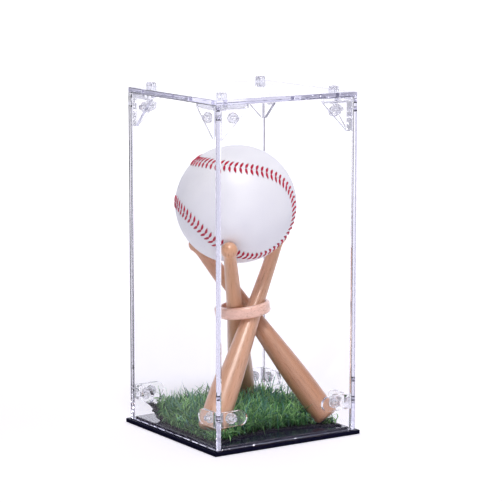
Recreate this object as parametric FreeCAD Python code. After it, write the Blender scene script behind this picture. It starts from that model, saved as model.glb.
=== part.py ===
import FreeCAD
import Part
import math
import os

from FreeCAD import Matrix, Placement, Rotation, Vector

# A clear five-sided cover on a black base, with a ball held by a tripod of small bats on a turf mat.
# Millimetres, +Z up, origin at the centre of the base's underside.
# The front wall faces -Y and the left wall faces -X.

# Base: a plate with a smaller step plate on it that keeps the cover in place
base_overhang = 2.25
base_thickness = 2.5
step_thickness = 2.0
step_clearance = 0.4
edge_break = 0.3

# Cover: left and right walls run the full depth, front and back walls fit between them
cover_width = 102.0
wall_thickness = 3.0
top_thickness = 3.0
headroom = 31.8
fit_gap = 0.1

# Upper brackets: three triangular wings with cut tips that meet in a corner
wing_leg = 21.0
wing_tip = 2.8
wing_thickness = 2.2
wing_fillet = 1.5
wing_screw_along = 11.5
wing_screw_drop = 8.5
top_screw_inset = 7.5

# Lower brackets: two round-ended arms that meet in a thick corner
arm_length = 20.0
arm_height = 9.2
arm_thickness = 2.2
arm_fillet = 3.0
arm_screw_along = 10.0
arm_rise = 18.0

# Screws: a round head on a smooth shank that passes bracket and panel
shank_diameter = 3.0
hole_clearance = 0.1
shank_recess = 0.2
head_diameter = 6.6
head_length = 2.6
head_chamfer = 0.6
peg_diameter = 6.2
peg_height = 3.2
peg_tail = 2.4

# Turf mat: a hand-cut square of backing, hollow along the front, with its left corner turned up
mat_inset = 3.0
mat_hollow = 11.0
mat_thickness = 0.8
curl_leg = 24.0
curl_radius = 22.0
curl_angle = 38.0
pile_height = 6.5
pile_inset = 1.5
pile_corner = 9.0
bat_clearance = 0.4
blade_pitch = 6.2
blade_width = 1.5
blade_depth = 0.7
blade_height = 8.5
blade_lean = 3.0

# Bats: turned from one piece, standing on the barrel end with the knob up
bat_length = 140.6
barrel_diameter = 15.4
barrel_edge = 3.0
barrel_run = 36.0
barrel_taper = 0.2
waist_diameter = 10.5
waist_station = 80.0
handle_diameter = 8.6
handle_run = 14.3
grip_diameter = 7.8
knob_diameter = 10.3
knob_undercut = 32.0
knob_flare = 4.0

# Tripod: where its axis stands, how far below its equator the ball bears on the knobs, and where each bat stands.
# Room is from the line of the lower screw heads to the barrel's side, and below zero the barrel tucks in under it.
tripod_x = 1.4
tripod_y = 1.3
seat_angle = 37.2
crossing_gap = 0.4
front_bat_room_right = 8.8
front_bat_room_back = -5.0
left_bat_room_right = -3.6
left_bat_room_front = -1.0
right_bat_room_left = -2.1
right_bat_room_front = 11.1
foot_gap = 0.1

# Ring that holds the bats together just above their crossing, with its right side a little higher
ring_rise = 3.0
ring_height = 7.5
ring_wall = 2.7
ring_round = 1.9
ring_lip = 0.7
ring_gap = 0.2
ring_tilt = 7.5
ring_high_side = -32.0

# Ball: cork and rubber core, yarn winding, two stitched leather panels
ball_diameter = 73.5
seat_gap = 0.3
leather_thickness = 1.3
layer_gap = 0.1
cork_diameter = 21.0
rubber_thickness = 7.0
seam_angle = 22.3
seam_knots = 48
ball_pitch = 116.0
ball_turn = 66.0
stitch_count = 122
stitch_reach = 3.9
stitch_advance = 1.3
stitch_width = 1.05
stitch_height = 0.5
stitch_gap = 0.4
stitch_lift = 0.03

# Places that follow from the sizes above
up = Vector(0, 0, 1)
inner = cover_width / 2 - wall_thickness
cover_bottom = base_thickness + fit_gap
step_top = base_thickness + step_thickness
mat_top = step_top + mat_thickness
arm_centre = base_thickness + arm_rise
hole_radius = shank_diameter / 2 + hole_clearance
ball_radius = ball_diameter / 2
knob_station = bat_length - knob_diameter / 2
seat_reach = ball_radius + knob_diameter / 2 + seat_gap
stand_line = inner - arm_thickness - head_length - barrel_diameter / 2
corner_names = ("front_left", "front_right", "back_right", "back_left")


def save(name, shape):
    shape.exportStep("parts/" + name + ".step")


def box(low, high):
    size = high - low
    return Part.makeBox(size.x, size.y, size.z, low)


def prism(points, sweep):
    return Part.Face(Part.makePolygon(points + points[:1])).extrude(sweep)


def turned(edges):
    # Solid of revolution about Z from an open outline of edges whose ends lie on the axis
    start = edges[0].valueAt(edges[0].FirstParameter)
    end = edges[-1].valueAt(edges[-1].LastParameter)
    outline = Part.Wire(edges + [Part.LineSegment(end, start).toShape()])
    return Part.Face(outline).revolve(Vector(0, 0, 0), up, 360)


def line(start, end):
    return Part.LineSegment(start, end).toShape()


def arc(start, middle, end):
    return Part.Arc(start, middle, end).toShape()


def at_corner(shape, index):
    # Copy of a shape made for the front left corner, turned to another corner of the case
    copy = shape.copy()
    copy.rotate(Vector(0, 0, 0), up, 90 * index)
    return copy


# Base plates

def sheet(low, high):
    # Cut sheet with its edges broken
    blank = box(low, high)
    return blank.makeChamfer(edge_break, blank.Edges)


def base_plate():
    half = cover_width / 2 + base_overhang
    return sheet(Vector(-half, -half, 0), Vector(half, half, base_thickness))


def step_plate():
    half = inner - step_clearance
    return sheet(Vector(-half, -half, base_thickness), Vector(half, half, step_top))


# Screws, each made along Z and set with its panel's outer face at the given place

def wall_screw(bracket_thickness, place, inward):
    seat = wall_thickness + bracket_thickness + 2 * fit_gap
    radius = shank_diameter / 2
    head = head_diameter / 2
    tip = seat + head_length
    outline = Part.makePolygon([
        Vector(0, 0, shank_recess), Vector(radius, 0, shank_recess), Vector(radius, 0, seat),
        Vector(head, 0, seat), Vector(head, 0, tip - head_chamfer),
        Vector(head - head_chamfer, 0, tip), Vector(0, 0, tip)])
    screw = turned(outline.Edges)
    screw.Placement = Placement(place, Rotation(up, inward))
    return screw


def peg_screw(place):
    radius = shank_diameter / 2
    head = peg_diameter / 2
    tail = -top_thickness - wing_thickness - peg_tail
    tip = fit_gap + peg_height
    outline = Part.makePolygon([
        Vector(0, 0, tail), Vector(radius, 0, tail), Vector(radius, 0, fit_gap), Vector(head, 0, fit_gap),
        Vector(head, 0, tip - head_chamfer), Vector(head - head_chamfer, 0, tip), Vector(0, 0, tip)])
    screw = turned(outline.Edges)
    screw.translate(place)
    return screw


def drill(place, direction, depth):
    # Clearance hole for a shank, started outside the face and run out past the depth
    past = direction * wall_thickness
    return Part.makeCylinder(hole_radius, depth + 2 * wall_thickness, place - past, direction)


def wall_screw_places(along, height):
    # Outer ends of the two wall screws at the front left corner, with their inward directions
    half = cover_width / 2
    return [(Vector(-inner + along, -half, height), Vector(0, 1, 0)),
            (Vector(-half, -inner + along, height), Vector(1, 0, 0))]


def screw_set(screws):
    return Part.makeCompound([at_corner(screw, index) for index in range(4) for screw in screws])


# Cover panels

def drilled(panel, holes):
    return panel.cut([at_corner(hole, index) for index in range(4) for hole in holes])


def wall(low, high, side):
    # Wall on the right or back with its screw holes, or turned to the other side
    holes = [drill(place, inward, wall_thickness) for place, inward in upper_places + lower_places]
    panel = drilled(sheet(low, high), holes)
    if side < 0:
        panel.rotate(Vector(0, 0, 0), up, 180)
    return panel


def side_wall(side):
    half = cover_width / 2
    return wall(Vector(inner, -half, cover_bottom), Vector(half, half, panel_underside - fit_gap), side)


def end_wall(side):
    half = cover_width / 2
    end = inner - fit_gap
    return wall(Vector(-end, inner, cover_bottom), Vector(end, half, panel_underside - fit_gap), side)


def top_panel():
    half = cover_width / 2
    panel = sheet(Vector(-half, -half, panel_underside), Vector(half, half, panel_top))
    return drilled(panel, [drill(peg_place, -up, top_thickness)])


# Brackets

def concave_edges(shape, corner, reach):
    # Straight edges that start at the inner meeting point of a bracket's plates
    return [edge for edge in shape.Edges
            if min((vertex.Point - corner).Length for vertex in edge.Vertexes) < 0.01
            and edge.Length < reach]


def wing(first, second, thickness):
    # Triangular plate with cut tips, spanned by two directions from the inside corner of the case
    corner = Vector(-inner + fit_gap, -inner + fit_gap, panel_underside - fit_gap)
    points = [corner, corner + first * wing_leg, corner + first * wing_leg + second * wing_tip,
              corner + first * wing_tip + second * wing_leg, corner + second * wing_leg]
    return prism(points, thickness * wing_thickness)


def upper_bracket():
    along_x, along_y, down = Vector(1, 0, 0), Vector(0, 1, 0), -up
    bracket = wing(along_x, down, along_y)
    bracket = bracket.fuse([wing(along_y, down, along_x), wing(along_x, along_y, down)]).removeSplitter()
    deep = fit_gap + wing_thickness
    corner = Vector(-inner + deep, -inner + deep, panel_underside - deep)
    bracket = bracket.makeFillet(wing_fillet, concave_edges(bracket, corner, wing_leg))
    reach = wall_thickness + wing_thickness
    holes = [drill(place, inward, reach) for place, inward in upper_places]
    holes.append(drill(peg_place, -up, top_thickness + wing_thickness))
    return bracket.cut(holes)


def arm(along, across):
    # Round-ended arm that lies on a wall, from the inside corner of the case
    radius = arm_height / 2
    corner = Vector(-inner + fit_gap, -inner + fit_gap, arm_centre)
    centre = corner + along * (arm_length - radius)
    half = up * radius
    outline = Part.Wire([line(corner - half, centre - half),
                         arc(centre - half, centre + along * radius, centre + half),
                         line(centre + half, corner + half), line(corner + half, corner - half)])
    return Part.Face(outline).extrude(across * arm_thickness)


def lower_bracket():
    along_x, along_y = Vector(1, 0, 0), Vector(0, 1, 0)
    bracket = arm(along_x, along_y).fuse(arm(along_y, along_x)).removeSplitter()
    deep = fit_gap + arm_thickness
    corner = Vector(-inner + deep, -inner + deep, arm_centre - arm_height / 2)
    upright = [edge for edge in concave_edges(bracket, corner, arm_length)
               if abs(edge.Vertexes[0].Z - edge.Vertexes[1].Z) > arm_height / 2]
    bracket = bracket.makeFillet(arm_fillet, upright)
    reach = wall_thickness + arm_thickness
    return bracket.cut([drill(place, inward, reach) for place, inward in lower_places])


# Bats and the tripod they form

def bat_outline():
    barrel = barrel_diameter / 2
    grip = grip_diameter / 2
    knob = knob_diameter / 2
    edge = barrel - barrel_edge
    slope = math.sqrt(0.5)
    undercut = math.radians(knob_undercut)
    shoulder = Vector(barrel, 0, barrel_edge)
    collar = Vector(knob * math.cos(undercut), 0, knob_station - knob * math.sin(undercut))
    neck = Vector(grip, 0, collar.z - knob_flare)
    # The flare leaves the grip along the bat and sweeps out to the round knob
    rise = collar.x - grip
    sweep = (rise * rise + knob_flare * knob_flare) / (2 * rise)
    half_turn = math.asin(knob_flare / sweep) / 2
    flare = Vector(grip + sweep * (1 - math.cos(half_turn)), 0, neck.z + sweep * math.sin(half_turn))
    body = Part.BSplineCurve()
    body.interpolate([shoulder, Vector(barrel - barrel_taper / 2, 0, barrel_run),
                      Vector(waist_diameter / 2, 0, waist_station),
                      Vector(handle_diameter / 2, 0, neck.z - handle_run), neck])
    return [line(Vector(0, 0, 0), Vector(edge, 0, 0)),
            arc(Vector(edge, 0, 0), Vector(edge + barrel_edge * slope, 0, barrel_edge * (1 - slope)), shoulder),
            body.toShape(), arc(neck, flare, collar),
            arc(collar, Vector(knob, 0, knob_station), Vector(0, 0, bat_length))]


class Bat:
    # One bat: the place of its barrel end on the mat and the axis from there to its knob
    def __init__(self, stand_x, stand_y):
        self.stand = Vector(stand_x, stand_y, mat_top + foot_gap)
        self.foot = self.stand
        self.inward = Vector(tripod_x - stand_x, tripod_y - stand_y, 0)

    def aim(self, offset, height):
        # Turn the axis past the tripod's axis, beside it by the offset at this height, with the barrel's edge on the mat
        reach = self.inward.Length
        heading = math.atan2(self.inward.y, self.inward.x) + math.asin(offset / reach)
        lean = math.atan2(math.sqrt(reach * reach - offset * offset), height - self.foot.z)
        along = Vector(math.cos(heading), math.sin(heading), 0)
        self.axis = along * math.sin(lean) + up * math.cos(lean)
        self.side = up.cross(along)
        flat = barrel_diameter / 2 - barrel_edge
        self.foot = self.stand + up * (flat * math.sin(lean) + barrel_edge * (1 - math.cos(lean)))
        self.knob = self.foot + self.axis * knob_station

    def solid(self, outline):
        shape = turned(outline)
        shape.Placement = Placement(self.foot, Rotation(up, self.axis))
        return shape


def touching_offsets(bats):
    # How far beside the tripod's axis each bat passes when all three touch each other where they cross
    rows = []
    for first, second in ((0, 1), (1, 2), (2, 0)):
        normal = bats[first].axis.cross(bats[second].axis).normalize()
        if normal.dot(bats[second].side - bats[first].side) > 0:
            normal = -normal
        row = [0.0, 0.0, 0.0]
        row[first] = -normal.dot(bats[first].side)
        row[second] = normal.dot(bats[second].side)
        rows.append(row)
    grid = Matrix(*rows[0], 0, *rows[1], 0, *rows[2], 0, 0, 0, 0, 1)
    distance = waist_diameter + crossing_gap
    return grid.inverse().multVec(Vector(distance, distance, distance))


def lay_tripod(bats):
    # The bats are as long as the feet and the knobs are far apart and high: that sets the height of the crossing
    feet_spread = sum(bat.inward.Length for bat in bats) / 3
    knob_spread = seat_reach * math.cos(math.radians(seat_angle))
    spread = feet_spread + knob_spread
    rise = math.sqrt(knob_station * knob_station - spread * spread) * feet_spread / spread
    offsets = Vector(0, 0, 0)
    for step in range(12):
        height = sum(bat.foot.z for bat in bats) / 3 + rise
        for bat, offset in zip(bats, offsets):
            bat.aim(offset, height)
        offsets = touching_offsets(bats)
    return height


def ring_axis():
    heading = math.radians(ring_high_side + 90)
    return Rotation(Vector(math.cos(heading), math.sin(heading), 0), -ring_tilt).multVec(up)


def ring_seat(bat_solids, axis):
    # Centre and radius of the smallest bore that holds the bats between its rounded rims
    middle = Vector(tripod_x, tripod_y, crossing_height + ring_rise)
    straight = ring_height - 2 * ring_lip
    slab = Part.makeCylinder(ball_radius, straight, middle - axis * (straight / 2), axis)
    points = []
    for solid in bat_solids:
        for point in solid.common(slab).tessellate(0.05)[0]:
            points.append(point - axis * axis.dot(point - middle))
    centre = middle
    for step in range(2, 300):
        farthest = max(points, key=lambda point: (point - centre).Length)
        centre = centre + (farthest - centre) / step
    return centre, max((point - centre).Length for point in points)


def ring(bat_solids):
    axis = ring_axis()
    centre, reach = ring_seat(bat_solids, axis)
    bore = reach + ring_gap
    half = ring_height / 2
    section = Part.makePolygon([Vector(bore, 0, -half), Vector(bore + ring_wall, 0, -half),
                                Vector(bore + ring_wall, 0, half), Vector(bore, 0, half), Vector(bore, 0, -half)])
    band = Part.Face(section).revolve(Vector(0, 0, 0), up, 360)
    rims = [rim for rim in band.Edges if rim.isClosed()]
    band = band.makeFillet(ring_round, [rim for rim in rims if rim.Curve.Radius > bore + ring_wall / 2])
    rims = [rim for rim in band.Edges if rim.isClosed() and rim.Curve.Radius < bore + fit_gap]
    band = band.makeFillet(ring_lip, rims)
    band.Placement = Placement(centre, Rotation(up, axis))
    return band


# Turf mat

def mat_half(inset):
    return inner - step_clearance - inset


def front_edge(x, inset):
    # How far back the hollow front edge of the mat runs at this place
    half = mat_half(inset)
    return -half + mat_hollow * (1 - x * x / (half * half))


def mat_prism(inset, bottom, top):
    half = mat_half(inset)
    left, right = Vector(-half, -half, bottom), Vector(half, -half, bottom)
    back_right, back_left = Vector(half, half, bottom), Vector(-half, half, bottom)
    outline = Part.Wire([arc(left, Vector(0, front_edge(0, inset), bottom), right), line(right, back_right),
                         line(back_right, back_left), line(back_left, left)])
    return Part.Face(outline).extrude(up * (top - bottom))


def curl_cutter(inset):
    # Upright prism over the turned-up corner, on the outer side of the fold line
    half = mat_half(inset)
    reach = curl_leg * 2
    points = [Vector(-half - reach, half - curl_leg - reach, 0), Vector(-half + curl_leg + reach, half + reach, 0),
              Vector(-half - reach, half + reach, 0)]
    return prism(points, up * reach)


def mat_backing():
    flat = mat_prism(mat_inset, step_top, mat_top).cut(curl_cutter(mat_inset))
    # The corner bends up about the fold line: a curved strip, trimmed to the mat's own outline
    half = mat_half(mat_inset)
    outward = Vector(-1, 1, 0).normalize()
    along = Vector(1, 1, 0).normalize()
    centre = Vector(-half, half - curl_leg, step_top + curl_radius)
    angle = math.radians(curl_angle)

    def on_arc(radius, turn):
        return centre + outward * (radius * math.sin(turn)) - up * (radius * math.cos(turn))

    under, over = curl_radius, curl_radius - mat_thickness
    outline = Part.Wire([arc(on_arc(under, 0), on_arc(under, angle / 2), on_arc(under, angle)),
                         line(on_arc(under, angle), on_arc(over, angle)),
                         arc(on_arc(over, angle), on_arc(over, angle / 2), on_arc(over, 0)),
                         line(on_arc(over, 0), on_arc(under, 0))])
    strip = Part.Face(outline).extrude(along * (curl_leg * math.sqrt(2)))
    tower = mat_prism(mat_inset, 0, step_top + curl_radius)
    return flat.fuse(strip.common(tower)).removeSplitter()


def bat_sleeves(bats):
    # Room for each bat's barrel in the pile
    wide = barrel_diameter / 2 + bat_clearance
    return [Part.makeCylinder(wide, waist_station, bat.foot - bat.axis * barrel_diameter, bat.axis) for bat in bats]


def turf_pile(bats):
    inset = mat_inset + pile_inset
    slab = mat_prism(inset, mat_top, mat_top + pile_height)
    upright = [edge for edge in slab.Edges if abs(edge.tangentAt(edge.FirstParameter).z) > 0.5]
    slab = slab.makeFillet(pile_corner, upright)
    return slab.cut([curl_cutter(inset)] + bat_sleeves(bats))


def grass_blade(root, turn, height, lean):
    # Flat tapering blade that leans to one side
    ahead = Vector(math.cos(turn), math.sin(turn), 0)
    across = Vector(-math.sin(turn), math.cos(turn), 0)
    side = across * (blade_width / 2)
    depth = ahead * (blade_depth / 2)
    base = [root + side + depth, root - side + depth, root - side - depth, root + side - depth]
    tip = root + ahead * lean + up * height
    faces = [Part.Face(Part.makePolygon(base + base[:1]))]
    for index in range(4):
        near, far = base[index], base[(index + 1) % 4]
        faces.append(Part.Face(Part.makePolygon([near, far, tip, near])))
    blade = Part.makeSolid(Part.makeShell(faces))
    if blade.Volume < 0:
        blade.reverse()
    return blade


def clear_of(point, height, bats):
    # True where a blade of this height and its lean miss every bat
    room = barrel_diameter / 2 + blade_lean + blade_width
    for bat in bats:
        for rise in (0, height):
            offset = point + up * rise - bat.foot
            if (offset - bat.axis * offset.dot(bat.axis)).Length < room:
                return False
    return True


def grass_blades(pile, bats):
    # Rows of blades on the pile, each with its own turn, height and lean from a fixed rule
    edge = mat_half(mat_inset + pile_inset + blade_width)
    count = int(2 * edge / blade_pitch)
    top = mat_top + pile_height
    blades = []
    for row in range(count + 1):
        for column in range(count + 1):
            turn = 2.4 * (row * 7 + column * 11)
            shift = Vector(math.sin(turn), math.cos(turn), 0) * (blade_pitch / 4)
            root = Vector(-edge + column * blade_pitch, -edge + row * blade_pitch, top) + shift
            height = blade_height * (1 + 0.35 * math.sin(1.7 * turn))
            rooted = pile.isInside(root - up * blade_depth, fit_gap, False)
            if not rooted or not clear_of(root, height, bats):
                continue
            blades.append(grass_blade(root, turn, height, blade_lean * math.cos(turn * 0.6)))
    return Part.makeCompound(blades)


# Ball

def seam_point(turn, radius):
    # The seam swings from one pole cap to the other twice on its way round the ball
    swing = math.radians(seam_angle)
    polar = math.pi / 2 - (math.pi / 2 - swing) * math.cos(turn)
    heading = turn / 2 + swing * math.sin(2 * turn)
    return Vector(math.sin(polar) * math.cos(heading), math.sin(polar) * math.sin(heading), math.cos(polar)) * radius


def seam_curve(radius):
    step = 4 * math.pi / seam_knots
    curve = Part.BSplineCurve()
    curve.interpolate([seam_point(index * step, radius) for index in range(seam_knots)], PeriodicFlag=True)
    return curve.toShape()


def ball_panels():
    # The leather shell, parted along the seam into two equal figure-eight panels
    inside = ball_radius - leather_thickness
    shell = Part.makeSphere(ball_radius).cut(Part.makeSphere(inside))
    blade = Part.makeRuledSurface(seam_curve(inside - leather_thickness), seam_curve(ball_radius + leather_thickness))
    pieces = shell.generalFuse([blade])[0].Solids
    return sorted(pieces, key=lambda piece: piece.CenterOfMass.z)


def ball_layers():
    # Cork centre, rubber round it and yarn wound to just under the leather
    cork = cork_diameter / 2
    rubber = cork + rubber_thickness
    yarn = ball_radius - leather_thickness - layer_gap
    return (Part.makeSphere(cork),
            Part.makeSphere(rubber).cut(Part.makeSphere(cork + layer_gap)),
            Part.makeSphere(yarn).cut(Part.makeSphere(rubber + layer_gap)))


def seat_ball(bats):
    # Centre of a ball that rests against the three knobs
    first, second, third = [bat.knob for bat in bats]
    reach = seat_reach
    span = second - first
    base = span.Length
    east = span / base
    to_third = third - first
    along = east.dot(to_third)
    north = to_third - east * along
    across = north.Length
    north = north / across
    x = base / 2
    y = (along * along + across * across - 2 * along * x) / (2 * across)
    above = east.cross(north)
    if above.z < 0:
        above = -above
    return first + east * x + north * y + above * math.sqrt(reach * reach - x * x - y * y)


def stitch(centre, foot, tangent, side):
    # One leg of a stitch: a flat bar from beside the seam to its hole, lying on the leather
    normal = (foot - centre).normalize()
    across = normal.cross(tangent).normalize() * side
    middle = foot + across * (stitch_gap / 2 + stitch_reach / 2) + tangent * (stitch_advance / 2)
    normal = (middle - centre).normalize()
    along = across * stitch_reach + tangent * stitch_advance
    length = along.Length
    along = (along - normal * along.dot(normal)).normalize()
    bar = Part.makeBox(length, stitch_width, stitch_height, Vector(-length / 2, -stitch_width / 2, 0))
    bar.Placement = Placement(centre + normal * (ball_radius + stitch_lift),
                              Rotation(along, normal.cross(along), normal, "ZXY"))
    return bar


def stitches(centre, place, bats):
    seam = seam_curve(ball_radius)
    seam.Placement = place
    room = knob_diameter / 2 + stitch_reach
    legs = []
    for index in range(stitch_count):
        station = seam.getParameterByLength((index + 0.5) * seam.Length / stitch_count)
        foot = seam.valueAt(station)
        # Where a knob bears on the seam the thread is pressed flat
        if min((foot - bat.knob).Length for bat in bats) < room:
            continue
        tangent = seam.tangentAt(station)
        legs += [stitch(centre, foot, tangent, side) for side in (1, -1)]
    return Part.makeCompound(legs)


tripod = [Bat(stand_line - front_bat_room_right, stand_line - front_bat_room_back),
          Bat(stand_line - left_bat_room_right, left_bat_room_front - stand_line),
          Bat(right_bat_room_left - stand_line, right_bat_room_front - stand_line)]
crossing_height = lay_tripod(tripod)
ball_centre = seat_ball(tripod)
ball_place = Placement(ball_centre, Rotation(up, ball_turn) * Rotation(Vector(1, 0, 0), ball_pitch))

# The cover clears the seated ball, and its screws take their places from its panels
panel_underside = ball_centre.z + ball_radius + headroom
panel_top = panel_underside + top_thickness
upper_places = wall_screw_places(wing_screw_along, panel_underside - wing_screw_drop)
lower_places = wall_screw_places(arm_screw_along, arm_centre)
peg_place = Vector(-inner + top_screw_inset, -inner + top_screw_inset, panel_top)

os.makedirs("parts", exist_ok=True)

save("base_plate", base_plate())
save("step_plate", step_plate())

save("wall_left", side_wall(-1))
save("wall_right", side_wall(1))
save("wall_front", end_wall(-1))
save("wall_back", end_wall(1))
save("top_panel", top_panel())

upper = upper_bracket()
lower = lower_bracket()
for number, corner_name in enumerate(corner_names):
    save("upper_bracket_" + corner_name, at_corner(upper, number))
    save("lower_bracket_" + corner_name, at_corner(lower, number))
save("top_screws", screw_set([peg_screw(peg_place)]))
save("upper_wall_screws", screw_set([wall_screw(wing_thickness, *place) for place in upper_places]))
save("lower_wall_screws", screw_set([wall_screw(arm_thickness, *place) for place in lower_places]))

bat_solids = [bat.solid(bat_outline()) for bat in tripod]
for bat_name, solid in zip(("bat_front", "bat_left", "bat_right"), bat_solids):
    save(bat_name, solid)
save("stand_ring", ring(bat_solids))

save("turf_backing", mat_backing())
pile = turf_pile(tripod)
save("turf_pile", pile)
save("turf_blades", grass_blades(pile, tripod))

ball_nodes = ("ball_cork", "ball_rubber", "ball_winding", "ball_panel_lower", "ball_panel_upper")
for node, shape in zip(ball_nodes, list(ball_layers()) + ball_panels()):
    shape.Placement = ball_place
    save(node, shape)
save("ball_stitches", stitches(ball_centre, ball_place, tripod))

print("ball centre", ball_centre, "crossing height", crossing_height, "panel underside", panel_underside)
for bat in tripod:
    print("bat foot", bat.foot, "knob", bat.knob)
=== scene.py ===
import bpy
import math
import numpy as np
from mathutils import Matrix, Vector, kdtree, noise


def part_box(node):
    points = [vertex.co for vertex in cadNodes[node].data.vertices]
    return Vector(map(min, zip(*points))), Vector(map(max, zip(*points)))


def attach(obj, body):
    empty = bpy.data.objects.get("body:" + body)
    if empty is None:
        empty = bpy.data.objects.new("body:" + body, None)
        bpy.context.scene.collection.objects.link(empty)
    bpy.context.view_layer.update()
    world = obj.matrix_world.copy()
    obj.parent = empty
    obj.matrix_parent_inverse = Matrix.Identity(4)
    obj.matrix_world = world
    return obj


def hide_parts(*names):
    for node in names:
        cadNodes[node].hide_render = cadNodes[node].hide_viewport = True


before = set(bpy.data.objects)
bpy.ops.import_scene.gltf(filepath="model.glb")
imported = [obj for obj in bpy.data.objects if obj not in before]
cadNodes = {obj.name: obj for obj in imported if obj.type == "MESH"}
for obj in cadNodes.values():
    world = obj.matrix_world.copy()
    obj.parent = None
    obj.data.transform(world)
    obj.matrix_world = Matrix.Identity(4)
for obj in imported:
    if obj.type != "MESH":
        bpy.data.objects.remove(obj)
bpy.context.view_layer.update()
mm = 0.001
acrylicIor = 1.49
noiseBand, wideNoiseBand = (0.35, 0.65), (0.3, 0.7)  # most of a noise lies within these
print("frame loaded:", len(cadNodes), "nodes")


# small helpers
def clearSelection():
    if bpy.context.object is not None and bpy.context.object.mode != "OBJECT":
        bpy.ops.object.mode_set(mode="OBJECT")
    bpy.ops.object.select_all(action="DESELECT")


def pick(piece):
    clearSelection()
    piece.select_set(True)
    bpy.context.view_layer.objects.active = piece
    return piece


def pickFaces(piece, wanted):  # leaves the piece in edit mode
    bpy.ops.object.mode_set(mode="OBJECT")
    for group in (piece.data.polygons, piece.data.edges, piece.data.vertices):
        group.foreach_set("select", [False] * len(group))
    for face in piece.data.polygons:
        face.select = wanted(face)
    bpy.ops.object.mode_set(mode="EDIT")


def nameNew(name):  # the primitive that was just added
    piece = bpy.context.object
    piece.name = name
    piece.data.name = name
    return piece


def settle(piece):  # place goes into the mesh, object stays at the origin
    pick(piece)
    bpy.ops.object.transform_apply(location=True, rotation=True, scale=True)
    return piece


def joinCopies(name, template, places):
    copies = []
    for spot in places:
        copy = template.copy()
        copy.data = template.data.copy()
        bpy.context.collection.objects.link(copy)
        copy.data.transform(spot)
        copies.append(copy)
    clearSelection()
    for copy in copies:
        copy.select_set(True)
    bpy.context.view_layer.objects.active = copies[0]
    bpy.ops.object.join()
    bpy.data.objects.remove(template)
    return nameNew(name)


def meshPiece(name, points, faces):
    mesh = bpy.data.meshes.new(name)
    mesh.from_pydata(points, [], faces)
    mesh.update()
    piece = bpy.data.objects.new(name, mesh)
    bpy.context.collection.objects.link(piece)
    return piece


def smooth(piece, angle):
    pick(piece)
    bpy.ops.object.shade_smooth_by_angle(angle=math.radians(angle))


def setAttribute(piece, name, values):
    attribute = piece.data.attributes.new(name, "FLOAT", "POINT")
    attribute.data.foreach_set("value", np.asarray(values, np.float32))


def dress(piece, material):
    piece.data.materials.clear()
    piece.data.materials.append(material)


def put(piece, body, slot, material, *replaced):
    dress(piece, material)
    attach(piece, body)
    if replaced:
        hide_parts(*replaced)


# node helpers
def newFinish(name, **sockets):
    material = bpy.data.materials.new(name)
    material.use_nodes = True
    shader = material.node_tree.nodes["Principled BSDF"]
    for key, value in sockets.items():
        shader.inputs[key.replace("_", " ")].default_value = value
    return material, material.node_tree, shader


def add(tree, kind, inputs=None, **settings):
    made = tree.nodes.new("ShaderNode" + kind)
    for key, value in settings.items():
        setattr(made, key, value)
    for key, value in (inputs or {}).items():
        if isinstance(value, bpy.types.NodeSocket):
            tree.links.new(value, made.inputs[key])
        else:
            made.inputs[key].default_value = value
    return made


def place(tree, turn=(0, 0, 0), origin=(0, 0, 0), stretch=(1, 1, 1)):
    coords = add(tree, "TexCoord").outputs["Object"]
    moved = {"Vector": coords, "Location": origin, "Rotation": turn}
    centred = add(tree, "Mapping", moved, vector_type="TEXTURE")
    return add(tree, "Mapping", {"Vector": centred.outputs[0], "Scale": stretch}).outputs[0]


def parts(tree, vector):
    return add(tree, "SeparateXYZ", {0: vector}).outputs


def dot(tree, first, second):
    return add(tree, "VectorMath", {0: first, 1: second}, operation="DOT_PRODUCT").outputs["Value"]


def painted(tree, name):  # value kept on the piece's points
    return add(tree, "Attribute", attribute_name=name).outputs["Fac"]


def grain(tree, vector, scale, detail=3.0, roughness=0.55):
    look = {"Vector": vector, "Scale": scale, "Detail": detail, "Roughness": roughness}
    return add(tree, "TexNoise", look).outputs["Fac"]


def ramp(tree, value, *stops):
    made = add(tree, "ValToRGB", {"Fac": value})
    elements = made.color_ramp.elements
    while len(elements) < len(stops):
        elements.new(0.5)
    for element, (at, colour) in zip(elements, stops):
        element.position = at
        element.color = (*colour, 1)
    return made.outputs["Color"]


def span(tree, value, low, high, fromLow=0.0, fromHigh=1.0):
    return add(tree, "MapRange", {"Value": value, "From Min": fromLow, "From Max": fromHigh,
                                  "To Min": low, "To Max": high}).outputs[0]


def mix(tree, factor, first, second, mode="MIX"):
    made = add(tree, "Mix", data_type="RGBA", blend_type=mode)
    # the node's colour sockets come after those for numbers and vectors
    for socket, value in ((made.inputs[0], factor), (made.inputs[6], first), (made.inputs[7], second)):
        if isinstance(value, bpy.types.NodeSocket):
            tree.links.new(value, socket)
        else:
            socket.default_value = (*value, 1) if isinstance(value, tuple) else value
    return made.outputs[2]


def sums(tree, operation, first, second=0.0):
    return add(tree, "Math", {0: first, 1: second}, operation=operation).outputs[0]


def bump(tree, shader, height, strength, distance):
    made = add(tree, "Bump", {"Height": height, "Strength": strength, "Distance": distance})
    tree.links.new(made.outputs[0], shader.inputs["Normal"])


def wire(tree, output, shader, socket):
    tree.links.new(output, shader.inputs[socket])


# camera
camera = {"azimuth": -33.02, "elevation": 9.385, "distance": 1.4, "target": (0, 0, 0.11278),
          "lens": 161.5, "sensor": 36, "shift": 0.0186, "clip": (0.01, 60)}


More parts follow.
